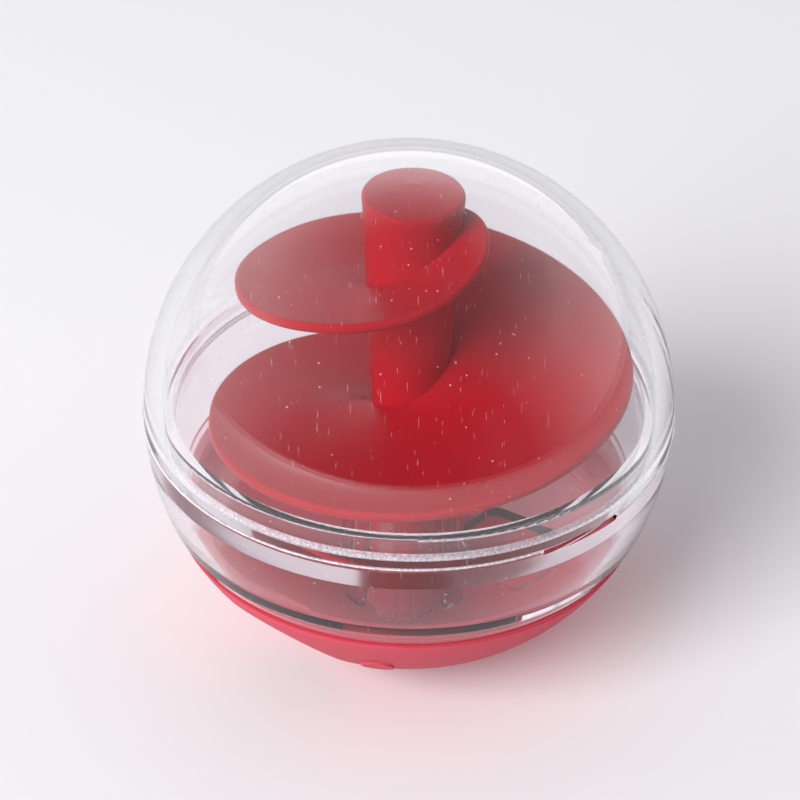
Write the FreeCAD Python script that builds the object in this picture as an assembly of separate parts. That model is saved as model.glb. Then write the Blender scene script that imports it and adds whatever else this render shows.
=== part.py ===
"""Spiral dispensing ball: a clear ball with a red spiral ramp inside and a red base cap below.

Everything is drawn about the ball's centre, in millimetres, +Z up, and is lifted at the end so that
the flat foot of the base cap stands on z = 0. Ramp angles run clockwise as seen from above, from +X,
which is the way the ramp descends.
"""
import FreeCAD
import Part
import math
import os

# ---- driving dimensions, heights from the ball's centre ------------------------------------------
BALL_R = 35.0                     # outside radius of the ball
FOOT_R = 9.0                      # radius of the flat foot
CENTRE_Z = math.sqrt(BALL_R ** 2 - FOOT_R ** 2)   # the ball's centre above the foot

# clear dome
DOME_INNER_R = 32.6
DOME_EDGE_Z = 0.05                # where the dome ends, just above the shell's ledge

# clear lower shell
LIP_OUTER_R = 32.2                # the upright lip that the dome is pushed over
LIP_INNER_R = 31.0
LIP_TOP_Z = 3.0
LIP_ROUND = 0.35
RIM_R = 35.15                     # the ledge's edge, a little proud of the ball
LEDGE_Z = 0.0
RIM_BOTTOM_Z = -0.55
LEDGE_UNDER_Z = -2.4
WALL_TOP_Z = -4.2                 # where the thickening under the ledge has run out
WALL_INNER_R = 33.0
SKIRT_TOP_Z = -13.0               # the step above the skirt that meets the base cap
SKIRT_BOTTOM_Z = -15.65
SKIRT_R = 34.6
SKIRT_INNER_R = 33.6
FLOOR_TOP_Z = -11.6
FLOOR_BOTTOM_Z = -13.1
FLOOR_BORE_R = 7.05
NOTCH_FROM, NOTCH_TO = -61.0, -41.0     # degrees, the pry notch under the dome's edge
NOTCH_DEPTH = 1.1
NOTCH_BOTTOM_Z = -0.9

# crown of spring fingers that hangs below the clear floor
CROWN_TOP_R = 8.2
CROWN_BOTTOM_R = 9.5
CROWN_BOTTOM_Z = -30.6
CROWN_WALL = 1.2
SLOT_TOP_Z = -14.3
FINGER_COUNT = 11
SLOT_DEGREES = 12.5
FIRST_SLOT = -90.5                # degrees, the middle of one slot

# port in the clear floor
PORT_FROM, PORT_TO = -62.0, -30.0  # degrees
PORT_INNER_R, PORT_OUTER_R = 13.0, 27.0
PORT_CORNER_R = 2.0

# spiral ramp
RAMP_SPANS = [(-34.0, 328.0), (328.0, 690.0)]    # degrees, drawn one after the other
SECTION_STEP = 12.0
ROOT_R = 4.45                     # inner edge of the ramp, inside the post's wall
TRAY_T = 1.35
EDGE_ROUND = 0.5
EDGE_RADII = [                    # (degrees, radius of the ramp's outer edge)
    (-34, 5.6), (-10, 7.8), (20, 10.0), (50, 12.8), (90, 17.6), (120, 20.3), (150, 22.1),
    (180, 22.2), (210, 22.4), (250, 23.8), (300, 25.9), (345, 27.7), (380, 29.2), (415, 29.9),
    (450, 30.0), (480, 28.8), (510, 27.3), (540, 26.3), (600, 26.2), (690, 26.5)]
EDGE_HEIGHTS = [                  # (degrees, height of the top face at the outer edge)
    (-34, 28.6), (20, 28.2), (60, 27.0), (90, 25.5), (120, 23.7), (150, 21.6), (180, 19.8),
    (210, 18.2), (240, 16.8), (270, 15.2), (300, 13.4), (360, 10.1), (420, 6.6), (480, 3.3),
    (540, -0.4), (600, -4.1), (690, -9.1)]
ROOT_HEIGHTS = [                  # (degrees, height of the top face at the post)
    (-34, 28.6), (20, 27.6), (60, 25.6), (90, 23.6), (120, 21.6), (180, 18.8), (270, 14.2),
    (360, 9.2), (450, 3.7), (495, 2.0), (540, 0.4), (600, -3.6), (690, -9.1)]

# central post and hub of the ramp
POST_TOP_Z = 31.4
POST_TOP_R = 6.4
POST_WAIST_Z = 0.5
POST_R = 4.95
POST_ROUND = 0.55
BORE_TOP_Z = 29.4
BORE_TOP_R = 4.1
SOCKET_R = 3.0
SOCKET_TOP_Z = -7.0
CONE_TOP_Z = -8.6
COLLAR_R = 8.6
COLLAR_TOP_Z = -10.3
COLLAR_BOTTOM_Z = -11.3
JOURNAL_R = 7.0                   # turns in the bore of the clear floor
JOURNAL_BOTTOM_Z = -24.8
HUB_CORE_R = (4.4, 5.6)
HUB_CORE_TOP_Z = -13.6

# red base cap
CAP_TOP_Z = -15.95
CAP_WALL = 1.6
CAP_ROUND = 0.3
NECK_R = (32.1, 33.3)             # inside the shell's skirt
NECK_TOP_Z = -13.5
SHELF_Z = -17.6
SEAT_R = (5.2, 6.6)               # tube that the hub stands on
SPIGOT_R = 2.95
SPIGOT_TOP_Z = -7.6
SPIGOT_CHAMFER = 0.6
EXIT_HOLE_R = 8.8
EXIT_AXIS = (-15.7, -18.1, -25.4)
MARK_ANGLE = -97.5                # degrees, the raised index mark
MARK_Z = -23.5
MARK_R = 2.2
MARK_PROUD = 0.3

UP = FreeCAD.Vector(0, 0, 1)
ORIGIN = FreeCAD.Vector(0, 0, 0)


def on_sphere(radius, z):
    """Distance from the Z axis of a sphere's surface at height z."""
    return math.sqrt(max(radius ** 2 - z ** 2, 0.0))


def sphere_point(radius, z_from, z_to):
    """The (r, z) point half way along a sphere's meridian between two heights."""
    middle = (math.asin(z_from / radius) + math.asin(z_to / radius)) / 2
    return radius * math.cos(middle), radius * math.sin(middle)


def corner_point(corner, start, end):
    """The middle of a quarter round that replaces a corner between start and end."""
    inner = (start[0] + end[0] - corner[0], start[1] + end[1] - corner[1])
    return tuple(i + (c - i) * math.sqrt(0.5) for i, c in zip(inner, corner))


def outline(points, place):
    """Closed wire through (r, z) points; (r, z, middle) is reached by an arc through middle."""
    edges = []
    ends = points[1:] + points[:1]
    for start, end in zip(points, ends):
        a, b = place(start), place(end)
        if len(end) == 3:
            edges.append(Part.Arc(a, place(end[2]), b).toShape())
        else:
            edges.append(Part.LineSegment(a, b).toShape())
    return Part.Wire(edges)


def upright(point):
    return FreeCAD.Vector(point[0], 0, point[1])


def turned(points):
    """Solid of revolution about Z from an (r, z) outline."""
    return Part.Face(outline(points, upright)).revolve(ORIGIN, UP, 360)


def ring_sector(r_inner, r_outer, z_low, z_high, from_degrees, to_degrees):
    """Part of a flat ring between two angles, counter-clockwise from +X."""
    corners = [(r_inner, z_low), (r_outer, z_low), (r_outer, z_high), (r_inner, z_high)]
    sector = Part.Face(outline(corners, upright)).revolve(ORIGIN, UP, to_degrees - from_degrees)
    sector.rotate(ORIGIN, UP, from_degrees)
    return sector


def clear_dome():
    """Dome from the ledge up, with an even wall."""
    inner_r = on_sphere(DOME_INNER_R, DOME_EDGE_Z)
    outer_r = on_sphere(BALL_R, DOME_EDGE_Z)
    return turned([
        (inner_r, DOME_EDGE_Z, sphere_point(DOME_INNER_R, DOME_INNER_R, DOME_EDGE_Z)),
        (outer_r, DOME_EDGE_Z),
        (0, BALL_R, sphere_point(BALL_R, DOME_EDGE_Z, BALL_R)),
        (0, DOME_INNER_R)])


def shell_body():
    """Lip, ledge, wall, skirt and floor as one turned wall."""
    lip_corner = (LIP_OUTER_R, LIP_TOP_Z)
    lip_start = (LIP_OUTER_R, LIP_TOP_Z - LIP_ROUND)
    lip_end = (LIP_OUTER_R - LIP_ROUND, LIP_TOP_Z)
    return turned([
        (FLOOR_BORE_R, FLOOR_BOTTOM_Z),
        (on_sphere(SKIRT_INNER_R, FLOOR_BOTTOM_Z), FLOOR_BOTTOM_Z),
        (on_sphere(SKIRT_INNER_R, SKIRT_BOTTOM_Z), SKIRT_BOTTOM_Z,
         sphere_point(SKIRT_INNER_R, FLOOR_BOTTOM_Z, SKIRT_BOTTOM_Z)),
        (on_sphere(SKIRT_R, SKIRT_BOTTOM_Z), SKIRT_BOTTOM_Z),
        (on_sphere(SKIRT_R, SKIRT_TOP_Z), SKIRT_TOP_Z,
         sphere_point(SKIRT_R, SKIRT_BOTTOM_Z, SKIRT_TOP_Z)),
        (on_sphere(BALL_R, SKIRT_TOP_Z), SKIRT_TOP_Z),
        (on_sphere(BALL_R, RIM_BOTTOM_Z), RIM_BOTTOM_Z,
         sphere_point(BALL_R, SKIRT_TOP_Z, RIM_BOTTOM_Z)),
        (RIM_R, RIM_BOTTOM_Z + RIM_R - on_sphere(BALL_R, RIM_BOTTOM_Z)),
        (RIM_R, LEDGE_Z),
        (LIP_OUTER_R, LEDGE_Z),
        lip_start,
        lip_end + (corner_point(lip_corner, lip_start, lip_end),),
        (LIP_INNER_R, LIP_TOP_Z),
        (LIP_INNER_R, LEDGE_UNDER_Z),
        (on_sphere(WALL_INNER_R, WALL_TOP_Z), WALL_TOP_Z),
        (on_sphere(WALL_INNER_R, FLOOR_TOP_Z), FLOOR_TOP_Z,
         sphere_point(WALL_INNER_R, WALL_TOP_Z, FLOOR_TOP_Z)),
        (FLOOR_BORE_R, FLOOR_TOP_Z)])


def crown():
    """Conical ring of spring fingers below the floor, slotted from its lower end."""
    ring = turned([
        (FLOOR_BORE_R, FLOOR_TOP_Z),
        (CROWN_TOP_R, FLOOR_TOP_Z),
        (CROWN_TOP_R, FLOOR_BOTTOM_Z),
        (CROWN_BOTTOM_R, CROWN_BOTTOM_Z),
        (CROWN_BOTTOM_R - CROWN_WALL, CROWN_BOTTOM_Z),
        (FLOOR_BORE_R, SLOT_TOP_Z)])
    slots = []
    for number in range(FINGER_COUNT):
        middle = FIRST_SLOT + number * 360.0 / FINGER_COUNT
        slots.append(ring_sector(FLOOR_BORE_R - CROWN_WALL, CROWN_BOTTOM_R + CROWN_WALL,
                                 CROWN_BOTTOM_Z - CROWN_WALL, SLOT_TOP_Z,
                                 middle - SLOT_DEGREES / 2, middle + SLOT_DEGREES / 2))
    return ring.cut(slots)


def clear_shell():
    shell = shell_body().fuse(crown()).removeSplitter()
    port = ring_sector(PORT_INNER_R, PORT_OUTER_R, FLOOR_BOTTOM_Z, FLOOR_TOP_Z, PORT_FROM, PORT_TO)
    uprights = [edge for edge in port.Edges if edge.BoundBox.XLength + edge.BoundBox.YLength < 0.01]
    port = port.makeFillet(PORT_CORNER_R, uprights)
    notch = ring_sector(RIM_R - NOTCH_DEPTH, RIM_R + NOTCH_DEPTH, NOTCH_BOTTOM_Z, LEDGE_Z,
                        NOTCH_FROM, NOTCH_TO)
    return shell.cut([port, notch])


def eased(stations, degrees):
    """Value at an angle of a smooth curve through (degrees, value) stations."""
    last = len(stations) - 1
    index = max(i for i in range(last) if stations[i][0] <= degrees)
    (a0, v0), (a1, v1) = stations[index], stations[index + 1]

    def slope(i):
        low, high = max(i - 1, 0), min(i + 1, last)
        return (stations[high][1] - stations[low][1]) / (stations[high][0] - stations[low][0])
    span = a1 - a0
    t = (degrees - a0) / span
    return (v0 * (1 + 2 * t) * (1 - t) ** 2 + slope(index) * span * t * (1 - t) ** 2
            + v1 * t * t * (3 - 2 * t) + slope(index + 1) * span * t * t * (t - 1))


def ramp_section(degrees):
    """Upright cross-section of the ramp: a thin tray with a rounded outer edge."""
    edge_r = eased(EDGE_RADII, degrees)
    edge_top = eased(EDGE_HEIGHTS, degrees)
    root_top = eased(ROOT_HEIGHTS, degrees)
    low = edge_top - TRAY_T
    shoulder = (edge_r - EDGE_ROUND, edge_top), (edge_r, edge_top - EDGE_ROUND)
    foot = (edge_r, low + EDGE_ROUND), (edge_r - EDGE_ROUND, low)
    points = [
        (ROOT_R, root_top),
        shoulder[0],
        shoulder[1] + (corner_point((edge_r, edge_top), *shoulder),),
        foot[0],
        foot[1] + (corner_point((edge_r, low), *foot),),
        (ROOT_R, root_top - TRAY_T)]
    angle = math.radians(degrees)

    def place(point):
        return FreeCAD.Vector(point[0] * math.cos(angle), -point[0] * math.sin(angle), point[1])
    return outline(points, place)


def ramp_span(from_degrees, to_degrees):
    """One stretch of the ramp, lofted through evenly spaced sections."""
    count = round((to_degrees - from_degrees) / SECTION_STEP)
    step = (to_degrees - from_degrees) / count
    sections = [ramp_section(from_degrees + step * i) for i in range(count + 1)]
    return Part.makeLoft(sections, True, False)


def post():
    """Tapered hollow post with the cone, the collar and the journal that turns in the clear floor."""
    taper = (POST_TOP_R - POST_R) / (POST_TOP_Z - POST_WAIST_Z)
    top_corner = (POST_TOP_R, POST_TOP_Z)
    round_start = (POST_TOP_R - taper * POST_ROUND, POST_TOP_Z - POST_ROUND)
    round_end = (POST_TOP_R - POST_ROUND, POST_TOP_Z)
    return turned([
        (0, BORE_TOP_Z),
        (0, POST_TOP_Z),
        round_end,
        round_start + (corner_point(top_corner, round_end, round_start),),
        (POST_R, POST_WAIST_Z),
        (POST_R, CONE_TOP_Z),
        (COLLAR_R, COLLAR_TOP_Z),
        (COLLAR_R, COLLAR_BOTTOM_Z),
        (JOURNAL_R, COLLAR_BOTTOM_Z),
        (JOURNAL_R, JOURNAL_BOTTOM_Z),
        (HUB_CORE_R[1], JOURNAL_BOTTOM_Z),
        (HUB_CORE_R[1], HUB_CORE_TOP_Z),
        (HUB_CORE_R[0], HUB_CORE_TOP_Z),
        (HUB_CORE_R[0], JOURNAL_BOTTOM_Z),
        (SOCKET_R, JOURNAL_BOTTOM_Z),
        (SOCKET_R, SOCKET_TOP_Z),
        (BORE_TOP_R, BORE_TOP_Z)])


def spiral_ramp():
    return post().fuse([ramp_span(*span) for span in RAMP_SPANS])


def index_mark():
    """Low round pad on the base cap's outside."""
    direction = FreeCAD.Vector(on_sphere(BALL_R, MARK_Z), 0, MARK_Z)
    blank = Part.makeCylinder(MARK_R, BALL_R + 2 * CAP_WALL, ORIGIN, direction)
    blank.rotate(ORIGIN, UP, MARK_ANGLE)
    pad = blank.common(Part.makeSphere(BALL_R + MARK_PROUD))
    return pad.cut(Part.makeSphere(BALL_R - CAP_WALL / 2))


def base_cap():
    inner_r = BALL_R - CAP_WALL
    foot_z = -CENTRE_Z
    inside_z = foot_z + CAP_WALL
    inside_flat_r = on_sphere(inner_r, inside_z)
    rim_start = (on_sphere(BALL_R, CAP_TOP_Z - CAP_ROUND), CAP_TOP_Z - CAP_ROUND)
    rim_end = (on_sphere(BALL_R, CAP_TOP_Z) - CAP_ROUND, CAP_TOP_Z)
    rim_corner = (on_sphere(BALL_R, CAP_TOP_Z), CAP_TOP_Z)
    cap = turned([
        (0, foot_z),
        (FOOT_R, foot_z),
        rim_start + (sphere_point(BALL_R, foot_z, rim_start[1]),),
        rim_end + (corner_point(rim_corner, rim_start, rim_end),),
        (on_sphere(NECK_R[1], CAP_TOP_Z), CAP_TOP_Z),
        (on_sphere(NECK_R[1], NECK_TOP_Z), NECK_TOP_Z, sphere_point(NECK_R[1], CAP_TOP_Z, NECK_TOP_Z)),
        (on_sphere(NECK_R[0], NECK_TOP_Z), NECK_TOP_Z),
        (on_sphere(NECK_R[0], SHELF_Z), SHELF_Z, sphere_point(NECK_R[0], NECK_TOP_Z, SHELF_Z)),
        (on_sphere(inner_r, SHELF_Z), SHELF_Z),
        (inside_flat_r, inside_z, sphere_point(inner_r, SHELF_Z, inside_z)),
        (SEAT_R[1], inside_z),
        (SEAT_R[1], JOURNAL_BOTTOM_Z),
        (SEAT_R[0], JOURNAL_BOTTOM_Z),
        (SEAT_R[0], inside_z),
        (SPIGOT_R, inside_z),
        (SPIGOT_R, SPIGOT_TOP_Z - SPIGOT_CHAMFER),
        (SPIGOT_R - SPIGOT_CHAMFER, SPIGOT_TOP_Z),
        (0, SPIGOT_TOP_Z)])
    along = FreeCAD.Vector(*EXIT_AXIS)
    along.normalize()
    hole = Part.makeCylinder(EXIT_HOLE_R, BALL_R, along * (BALL_R / 2), along)
    return cap.fuse(index_mark()).cut(hole)


def main():
    os.makedirs("parts", exist_ok=True)
    parts = {
        "clear_dome": clear_dome(),
        "clear_shell": clear_shell(),
        "spiral_ramp": spiral_ramp(),
        "base_cap": base_cap(),
    }
    for name, shape in parts.items():
        shape.translate(FreeCAD.Vector(0, 0, CENTRE_Z))
        shape.exportStep(f"parts/{name}.step")
        print(name, "solids", len(shape.Solids), "valid", shape.isValid(),
              "volume_cm3", round(shape.Volume / 1000, 3))


main()
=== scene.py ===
"""Looks of the spiral dispensing ball: clear scuffed dome and shell, red spiral ramp and base cap."""
import math

import bpy
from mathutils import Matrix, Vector


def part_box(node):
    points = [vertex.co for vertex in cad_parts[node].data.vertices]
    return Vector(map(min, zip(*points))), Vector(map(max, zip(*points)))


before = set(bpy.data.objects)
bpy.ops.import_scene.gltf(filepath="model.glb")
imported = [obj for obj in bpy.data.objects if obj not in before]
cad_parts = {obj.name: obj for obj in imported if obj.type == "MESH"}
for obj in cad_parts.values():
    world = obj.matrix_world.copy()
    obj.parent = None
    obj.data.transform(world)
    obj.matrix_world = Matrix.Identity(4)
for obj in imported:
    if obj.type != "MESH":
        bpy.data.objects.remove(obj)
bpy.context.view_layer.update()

# ---- sizes and places, in metres, from the frame --------------------------------------------------
MM = 0.001
dome_low, dome_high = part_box("clear_dome")
BALL_R = dome_high[0]
SEAM_Z = dome_low[2]
CENTRE = Vector((0.0, 0.0, dome_high[2] - BALL_R))

# ---- camera ---------------------------------------------------------------------------------------
CAMERA_ELEVATION = math.radians(35.5)
CAMERA_DISTANCE = 11.4 * BALL_R
CAMERA_LENS = 135.9               # mm on a 36 mm sensor
CAMERA_ROLL = math.radians(1.2)
CLIP_START = 0.01
AIM = CENTRE + Vector((-1.18 * MM, 0.0, 0.5 * MM))

# ---- light ----------------------------------------------------------------------------------------
FLOOR_HALF = 3.0
FLOOR_ROUGHNESS = 0.6
FLOOR_COLOUR = (0.86, 0.855, 0.875, 1)
KEY_PLACE = (-0.95, -1.03, 0.82)
KEY_SIZE = 1.1
KEY_POWER = 35.0
WORLD_STRENGTH = 1.07
WORLD_BACK = (1.0, 0.99, 1.02, 1)
WORLD_FRONT = (0.10, 0.095, 0.105, 1)
WORLD_CEILING = (0.24, 0.24, 0.255, 1)
FRONT_TO_BACK = (-0.6, 0.1)       # where along Y the front gives way to the back
CEILING_FROM_TO = (0.5, 0.9)      # where up Z the ceiling comes in

# ---- plastics -------------------------------------------------------------------------------------
DOME_TINT = (0.985, 0.98, 0.99, 1)
SHELL_TINT = (0.99, 0.925, 0.955, 1)
CLEAR_SHADOW = (0.955, 0.94, 0.955, 1)
CLEAR_IOR = 1.58
CLEAR_ROUGHNESS = 0.03
SCUFF_WHITE = (0.9, 0.89, 0.93, 1)
DUST_SCALE = 560.0
DUST_SIZE = 0.07
DUST_RARITY = 0.62
DUST_SHARE = 0.28
SCRATCH_SCALE = (3200.0, 330.0, 330.0)
SCRATCH_RARITY = 0.745
SCRATCH_SHARE = 0.15
SCRATCH_TURNS = ((0.4, 0.9, 0.3), (1.3, 0.2, 1.1), (0.2, 0.5, 2.2))
LEDGE_HALF = 0.3 * MM             # half the height of the frosted band at the seam
LEDGE_FROST = 1.2
LEDGE_GRAIN = 2600.0
WEDGE_LOW, WEDGE_HIGH = 4.4 * MM, 2.2 * MM      # below the seam, the thickening's inner face
WEDGE_R = 33.2 * MM
WEDGE_ROUGHNESS = 0.12
RED_COLOUR = (0.5, 0.006, 0.016, 1)
RED_GLOW = (0.92, 0.17, 0.25, 1)  # light that comes through the red walls
RAMP_GLOW_SHARE = 0.08
# the cap is a lighter copy of the ramp's red: painted light, standing in for the floor's bounce and
# the light inside the lower chamber
CAP_RED_WITH_PAINTED_LIGHT = (0.78, 0.14, 0.20, 1)
CAP_GLOW_SHARE = 0.5
RED_ROUGHNESS = 0.36
RED_SPECULAR = 0.22
RED_IOR = 1.5


def make_camera():
    data = bpy.data.cameras.new("camera")
    data.lens = CAMERA_LENS
    data.clip_start = CLIP_START
    camera = bpy.data.objects.new("camera", data)
    bpy.context.scene.collection.objects.link(camera)
    back = Vector((0.0, -math.cos(CAMERA_ELEVATION), math.sin(CAMERA_ELEVATION)))
    camera.location = AIM + back * CAMERA_DISTANCE
    camera.rotation_euler = (-back).to_track_quat("-Z", "Y").to_euler()
    camera.rotation_euler.rotate_axis("Z", CAMERA_ROLL)
    bpy.context.scene.camera = camera


# ---- materials ------------------------------------------------------------------------------------
def new_material(name):
    material = bpy.data.materials.new(name)
    material.use_nodes = True
    material.node_tree.nodes.clear()
    return material, material.node_tree.nodes, material.node_tree.links


def maths(nodes, links, operation, *values):
    node = nodes.new("ShaderNodeMath")
    node.operation = operation
    for socket, value in zip(node.inputs, values):
        if isinstance(value, (int, float)):
            socket.default_value = value
        else:
            links.new(value, socket)
    return node.outputs[0]


def dust(nodes, links, place):
    """1 on scattered round specks."""
    cells = nodes.new("ShaderNodeTexVoronoi")
    cells.inputs["Scale"].default_value = DUST_SCALE
    links.new(place, cells.inputs["Vector"])
    pick = nodes.new("ShaderNodeSeparateColor")
    links.new(cells.outputs["Color"], pick.inputs[0])
    near = maths(nodes, links, "LESS_THAN", cells.outputs["Distance"], DUST_SIZE)
    chosen = maths(nodes, links, "GREATER_THAN", pick.outputs[0], DUST_RARITY)
    return maths(nodes, links, "MULTIPLY", near, chosen)


def scratches(nodes, links, place, turn):
    """1 on short thin lines that follow the given turn."""
    mapping = nodes.new("ShaderNodeMapping")
    mapping.inputs["Rotation"].default_value = turn
    mapping.inputs["Scale"].default_value = SCRATCH_SCALE
    links.new(place, mapping.inputs["Vector"])
    noise = nodes.new("ShaderNodeTexNoise")
    noise.inputs["Scale"].default_value = 1.0
    noise.inputs["Detail"].default_value = 2.0
    links.new(mapping.outputs[0], noise.inputs["Vector"])
    return maths(nodes, links, "GREATER_THAN", noise.outputs[0], SCRATCH_RARITY)


def clear_plastic(name, tint, has_ledge):
    material, nodes, links = new_material(name)
    place = nodes.new("ShaderNodeTexCoord").outputs["Object"]
    glass = nodes.new("ShaderNodeBsdfPrincipled")
    glass.inputs["Base Color"].default_value = tint
    glass.inputs["Roughness"].default_value = CLEAR_ROUGHNESS
    glass.inputs["IOR"].default_value = CLEAR_IOR
    glass.inputs["Transmission Weight"].default_value = 1.0
    white = nodes.new("ShaderNodeBsdfDiffuse")
    white.inputs["Color"].default_value = SCUFF_WHITE
    first, second, third = (scratches(nodes, links, place, turn) for turn in SCRATCH_TURNS)
    marks = maths(nodes, links, "MAXIMUM", maths(nodes, links, "MAXIMUM", first, second), third)
    marks = maths(nodes, links, "MULTIPLY", marks, SCRATCH_SHARE)
    specks = maths(nodes, links, "MULTIPLY", dust(nodes, links, place), DUST_SHARE)
    cover = maths(nodes, links, "MAXIMUM", marks, specks)
    if has_ledge:
        apart = nodes.new("ShaderNodeSeparateXYZ")
        links.new(place, apart.inputs[0])
        from_seam = maths(nodes, links, "ABSOLUTE",
                          maths(nodes, links, "SUBTRACT", apart.outputs["Z"], SEAM_Z))
        band = maths(nodes, links, "LESS_THAN", from_seam, LEDGE_HALF)
        grain = nodes.new("ShaderNodeTexNoise")
        grain.inputs["Scale"].default_value = LEDGE_GRAIN
        links.new(place, grain.inputs["Vector"])
        grained = maths(nodes, links, "MULTIPLY", band, grain.outputs[0])
        frost = maths(nodes, links, "MULTIPLY", grained, LEDGE_FROST)
        cover = maths(nodes, links, "MAXIMUM", cover, frost)
        above = maths(nodes, links, "GREATER_THAN", apart.outputs["Z"], SEAM_Z - WEDGE_LOW)
        below = maths(nodes, links, "LESS_THAN", apart.outputs["Z"], SEAM_Z - WEDGE_HIGH)
        across = maths(nodes, links, "ADD", maths(nodes, links, "POWER", apart.outputs["X"], 2.0),
                       maths(nodes, links, "POWER", apart.outputs["Y"], 2.0))
        inside = maths(nodes, links, "LESS_THAN", across, WEDGE_R ** 2)
        wedge = maths(nodes, links, "MULTIPLY", maths(nodes, links, "MULTIPLY", above, below), inside)
        links.new(maths(nodes, links, "MULTIPLY_ADD", wedge, WEDGE_ROUGHNESS, CLEAR_ROUGHNESS),
                  glass.inputs["Roughness"])
    scuffed = nodes.new("ShaderNodeMixShader")
    links.new(cover, scuffed.inputs[0])
    links.new(glass.outputs[0], scuffed.inputs[1])
    links.new(white.outputs[0], scuffed.inputs[2])
    through = nodes.new("ShaderNodeBsdfTransparent")
    through.inputs["Color"].default_value = CLEAR_SHADOW
    mix = nodes.new("ShaderNodeMixShader")
    links.new(nodes.new("ShaderNodeLightPath").outputs["Is Shadow Ray"], mix.inputs[0])
    links.new(scuffed.outputs[0], mix.inputs[1])
    links.new(through.outputs[0], mix.inputs[2])
    links.new(mix.outputs[0], nodes.new("ShaderNodeOutputMaterial").inputs["Surface"])
    return material


def red_plastic(name, colour, glow_share):
    material, nodes, links = new_material(name)
    red = nodes.new("ShaderNodeBsdfPrincipled")
    red.inputs["Base Color"].default_value = colour
    red.inputs["Roughness"].default_value = RED_ROUGHNESS
    red.inputs["IOR"].default_value = RED_IOR
    red.inputs["Specular IOR Level"].default_value = RED_SPECULAR
    glow = nodes.new("ShaderNodeBsdfTranslucent")
    glow.inputs["Color"].default_value = RED_GLOW
    mix = nodes.new("ShaderNodeMixShader")
    mix.inputs[0].default_value = glow_share
    links.new(red.outputs[0], mix.inputs[1])
    links.new(glow.outputs[0], mix.inputs[2])
    links.new(mix.outputs[0], nodes.new("ShaderNodeOutputMaterial").inputs["Surface"])
    return material


def floor_material():
    material, nodes, links = new_material("pale_floor")
    paint = nodes.new("ShaderNodeBsdfPrincipled")
    paint.inputs["Base Color"].default_value = FLOOR_COLOUR
    paint.inputs["Roughness"].default_value = FLOOR_ROUGHNESS
    links.new(paint.outputs[0], nodes.new("ShaderNodeOutputMaterial").inputs["Surface"])
    return material


def dress(node, material):
    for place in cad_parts[node].material_slots:
        place.material = material


# ---- stage and light ------------------------------------------------------------------------------
def make_stage():
    mesh = bpy.data.meshes.new("floor")
    corners = [(-FLOOR_HALF, -FLOOR_HALF, 0), (FLOOR_HALF, -FLOOR_HALF, 0),
               (FLOOR_HALF, FLOOR_HALF, 0), (-FLOOR_HALF, FLOOR_HALF, 0)]
    mesh.from_pydata(corners, [], [(0, 1, 2, 3)])
    mesh.materials.append(floor_material())
    floor = bpy.data.objects.new("floor", mesh)
    bpy.context.scene.collection.objects.link(floor)


def make_key():
    data = bpy.data.lights.new("key", "AREA")
    data.shape = "DISK"
    data.size = KEY_SIZE
    data.energy = KEY_POWER
    lamp = bpy.data.objects.new("key", data)
    lamp.location = Vector(KEY_PLACE)
    lamp.rotation_euler = (CENTRE - lamp.location).to_track_quat("-Z", "Y").to_euler()
    lamp.visible_glossy = False
    lamp.visible_transmission = False
    bpy.context.scene.collection.objects.link(lamp)


def blend(nodes, links, factor, low, high):
    mix = nodes.new("ShaderNodeMix")
    mix.data_type = "RGBA"
    links.new(factor, mix.inputs["Factor"])
    for socket, value in ((mix.inputs[6], low), (mix.inputs[7], high)):
        if isinstance(value, tuple):
            socket.default_value = value
        else:
            links.new(value, socket)
    return mix.outputs[2]


def make_world():
    """Bright low surroundings behind and beside the ball, darker in front of it and overhead."""
    world = bpy.data.worlds.new("studio")
    world.use_nodes = True
    nodes, links = world.node_tree.nodes, world.node_tree.links
    apart = nodes.new("ShaderNodeSeparateXYZ")
    links.new(nodes.new("ShaderNodeTexCoord").outputs["Generated"], apart.inputs[0])
    sideways = nodes.new("ShaderNodeMapRange")
    sideways.inputs["From Min"].default_value = FRONT_TO_BACK[0]
    sideways.inputs["From Max"].default_value = FRONT_TO_BACK[1]
    links.new(apart.outputs["Y"], sideways.inputs["Value"])
    overhead = nodes.new("ShaderNodeMapRange")
    overhead.inputs["From Min"].default_value = CEILING_FROM_TO[0]
    overhead.inputs["From Max"].default_value = CEILING_FROM_TO[1]
    links.new(apart.outputs["Z"], overhead.inputs["Value"])
    around = blend(nodes, links, sideways.outputs[0], WORLD_FRONT, WORLD_BACK)
    colour = blend(nodes, links, overhead.outputs[0], around, WORLD_CEILING)
    links.new(colour, nodes["Background"].inputs["Color"])
    nodes["Background"].inputs["Strength"].default_value = WORLD_STRENGTH
    bpy.context.scene.world = world


make_camera()
make_stage()
make_key()
make_world()
bpy.context.scene.view_settings.view_transform = "Standard"
dress("clear_dome", clear_plastic("clear_dome_scuffed", DOME_TINT, False))
dress("clear_shell", clear_plastic("clear_shell_scuffed", SHELL_TINT, True))
dress("spiral_ramp", red_plastic("ramp_red", RED_COLOUR, RAMP_GLOW_SHARE))
# the cap's lighter red is painted light, for the floor's bounce and the light inside the lower
# chamber
dress("base_cap", red_plastic("cap_red_with_painted_light", CAP_RED_WITH_PAINTED_LIGHT, CAP_GLOW_SHARE))
